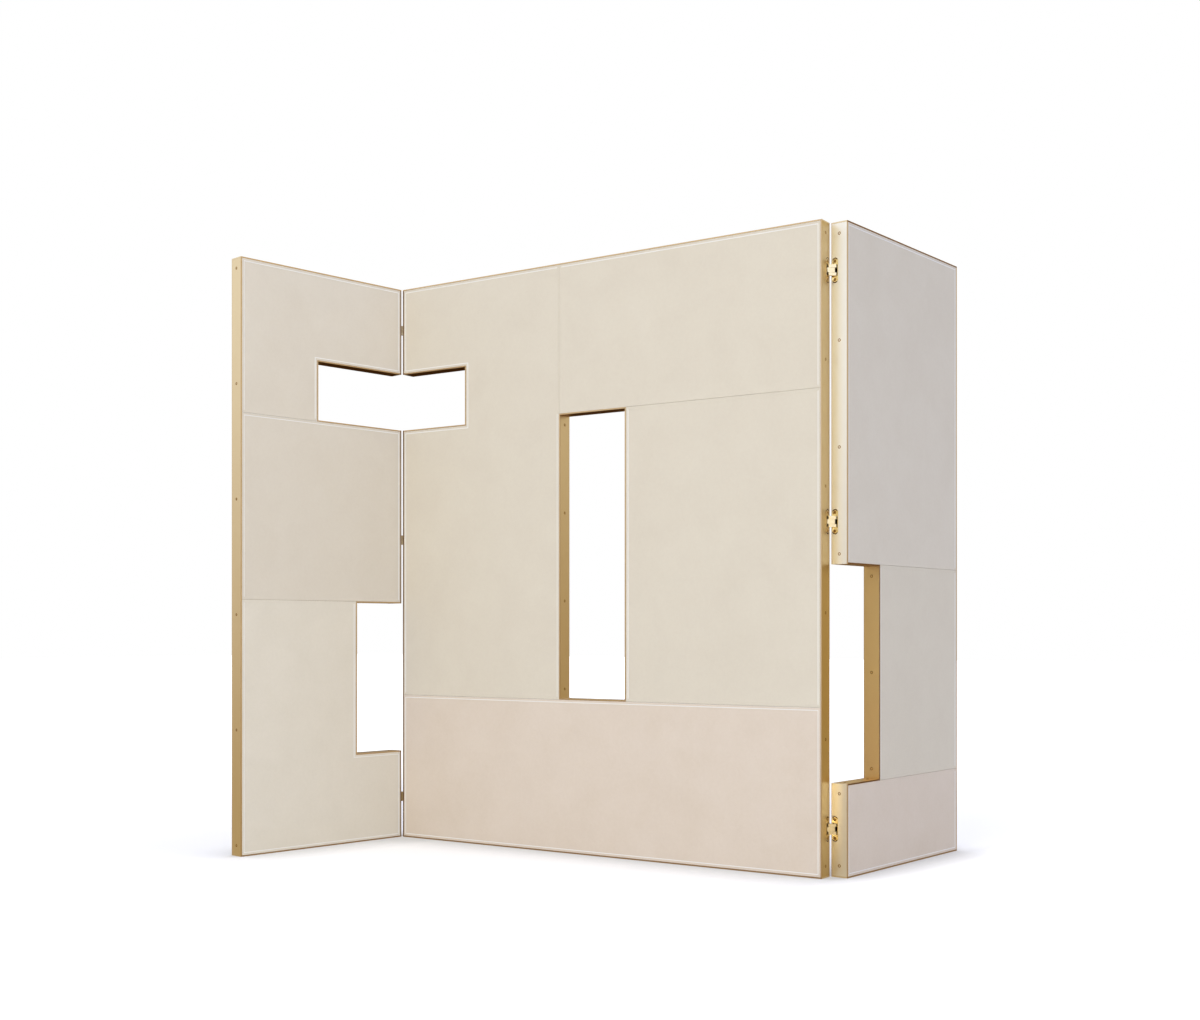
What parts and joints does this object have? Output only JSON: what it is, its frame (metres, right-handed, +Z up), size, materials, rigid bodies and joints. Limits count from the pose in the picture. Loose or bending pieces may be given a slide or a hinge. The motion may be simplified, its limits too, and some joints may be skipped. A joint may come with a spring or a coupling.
{
  "type": "folding screen",
  "caption": "Free-standing zigzag folding screen: leather-covered panels edged in flat brass bars, with a corner window, notches and a slot, joined by concealed link hinges.",
  "frame": {"origin": "middle of the underside of the centre panel, on the floor", "axes": "+X along the centre panel from left to right seen from the front, +Y to the back, +Z up"},
  "size_m": [1.7834, 1.3247, 1.8],
  "materials": {
    "cream_leather": "matte fine suede grain",
    "satin_brass": "satin brushed along the bar",
    "polished_brass": "polished",
    "screw_brass": "satin",
    "frame_timber": "planed softwood",
    "paper_honeycomb": "raw paper"
  },
  "bodies": {
    "centre_panel": {"centre_back_tile_bottom": "cream_leather", "centre_back_tile_left": "cream_leather", "centre_back_tile_lower_right": "cream_leather", "centre_back_tile_upper_right": "cream_leather", "centre_bottom_bar": "satin_brass", "centre_core_infill": "paper_honeycomb", "centre_front_tile_bottom": "cream_leather", "centre_front_tile_left": "cream_leather", "centre_front_tile_lower_right": "cream_leather", "centre_front_tile_upper_right": "cream_leather", "centre_hinge_cups": "polished_brass", "centre_hinge_pins": "polished_brass", "centre_hinge_screws": "screw_brass", "centre_left_bar_lower": "satin_brass", "centre_left_bar_upper": "satin_brass", "centre_right_bar": "satin_brass", "centre_slot_trim": "satin_brass", "centre_timber_frame": "frame_timber", "centre_top_bar": "satin_brass", "centre_window_trim": "satin_brass"},
    "left_panel": {"left_back_tile_bottom": "cream_leather", "left_back_tile_middle": "cream_leather", "left_back_tile_top": "cream_leather", "left_bottom_bar": "satin_brass", "left_core_infill": "paper_honeycomb", "left_fold_bar_lower": "satin_brass", "left_fold_bar_middle": "satin_brass", "left_fold_bar_upper": "satin_brass", "left_front_tile_bottom": "cream_leather", "left_front_tile_middle": "cream_leather", "left_front_tile_top": "cream_leather", "left_hinge_cups": "polished_brass", "left_hinge_pins": "polished_brass", "left_hinge_screws": "screw_brass", "left_notch_trim": "satin_brass", "left_outer_bar": "satin_brass", "left_timber_frame": "frame_timber", "left_top_bar": "satin_brass", "left_window_trim": "satin_brass"},
    "right_panel": {"right_back_tile_bottom": "cream_leather", "right_back_tile_middle": "cream_leather", "right_back_tile_top": "cream_leather", "right_bottom_bar": "satin_brass", "right_core_infill": "paper_honeycomb", "right_fold_bar_lower": "satin_brass", "right_fold_bar_upper": "satin_brass", "right_front_tile_bottom": "cream_leather", "right_front_tile_middle": "cream_leather", "right_front_tile_top": "cream_leather", "right_hinge_cups": "polished_brass", "right_hinge_pins": "polished_brass", "right_hinge_screws": "screw_brass", "right_notch_trim": "satin_brass", "right_outer_bar": "satin_brass", "right_timber_frame": "frame_timber", "right_top_bar": "satin_brass"},
    "left_yoke_links": {"left_fold_yoke_links": "polished_brass"},
    "left_tongue_links": {"left_fold_tongue_links": "polished_brass"},
    "right_yoke_links": {"right_fold_yoke_links": "polished_brass"},
    "right_tongue_links": {"right_fold_tongue_links": "polished_brass"}
  },
  "joints": [
    {"name": "left_fold", "type": "hinge", "parent": "centre_panel", "child": "left_panel", "pos_m": [-0.757, -0.0265, 0.9], "axis": [0, 0, 1], "range_deg": [-80.2, 99.8]},
    {"name": "right_fold", "type": "hinge", "parent": "centre_panel", "child": "right_panel", "pos_m": [0.757, 0.0265, 0.9], "axis": [0, 0, 1], "range_deg": [-84.6, 95.4]},
    {"name": "left_yoke_turn", "type": "hinge", "parent": "centre_panel", "child": "left_yoke_links", "pos_m": [-0.751, -0.0185, 0.9], "axis": [0, 0, 1], "range_deg": [-40.1, 49.9]},
    {"name": "left_tongue_turn", "type": "hinge", "parent": "left_panel", "child": "left_tongue_links", "pos_m": [-0.7659, -0.03105, 0.9], "axis": [0, 0, 1], "range_deg": [-49.9, 40.1]},
    {"name": "right_yoke_turn", "type": "hinge", "parent": "centre_panel", "child": "right_yoke_links", "pos_m": [0.751, 0.0185, 0.9], "axis": [0, 0, 1], "range_deg": [-42.3, 47.7]},
    {"name": "right_tongue_turn", "type": "hinge", "parent": "right_panel", "child": "right_tongue_links", "pos_m": [0.76553, 0.03172, 0.9], "axis": [0, 0, 1], "range_deg": [-47.7, 42.3]}
  ],
  "couplings": [
    {"joint": "left_yoke_turn", "follows": "left_fold", "ratio": 0.5},
    {"joint": "left_tongue_turn", "follows": "left_fold", "ratio": -0.5},
    {"joint": "right_yoke_turn", "follows": "right_fold", "ratio": 0.5},
    {"joint": "right_tongue_turn", "follows": "right_fold", "ratio": -0.5}
  ]
}
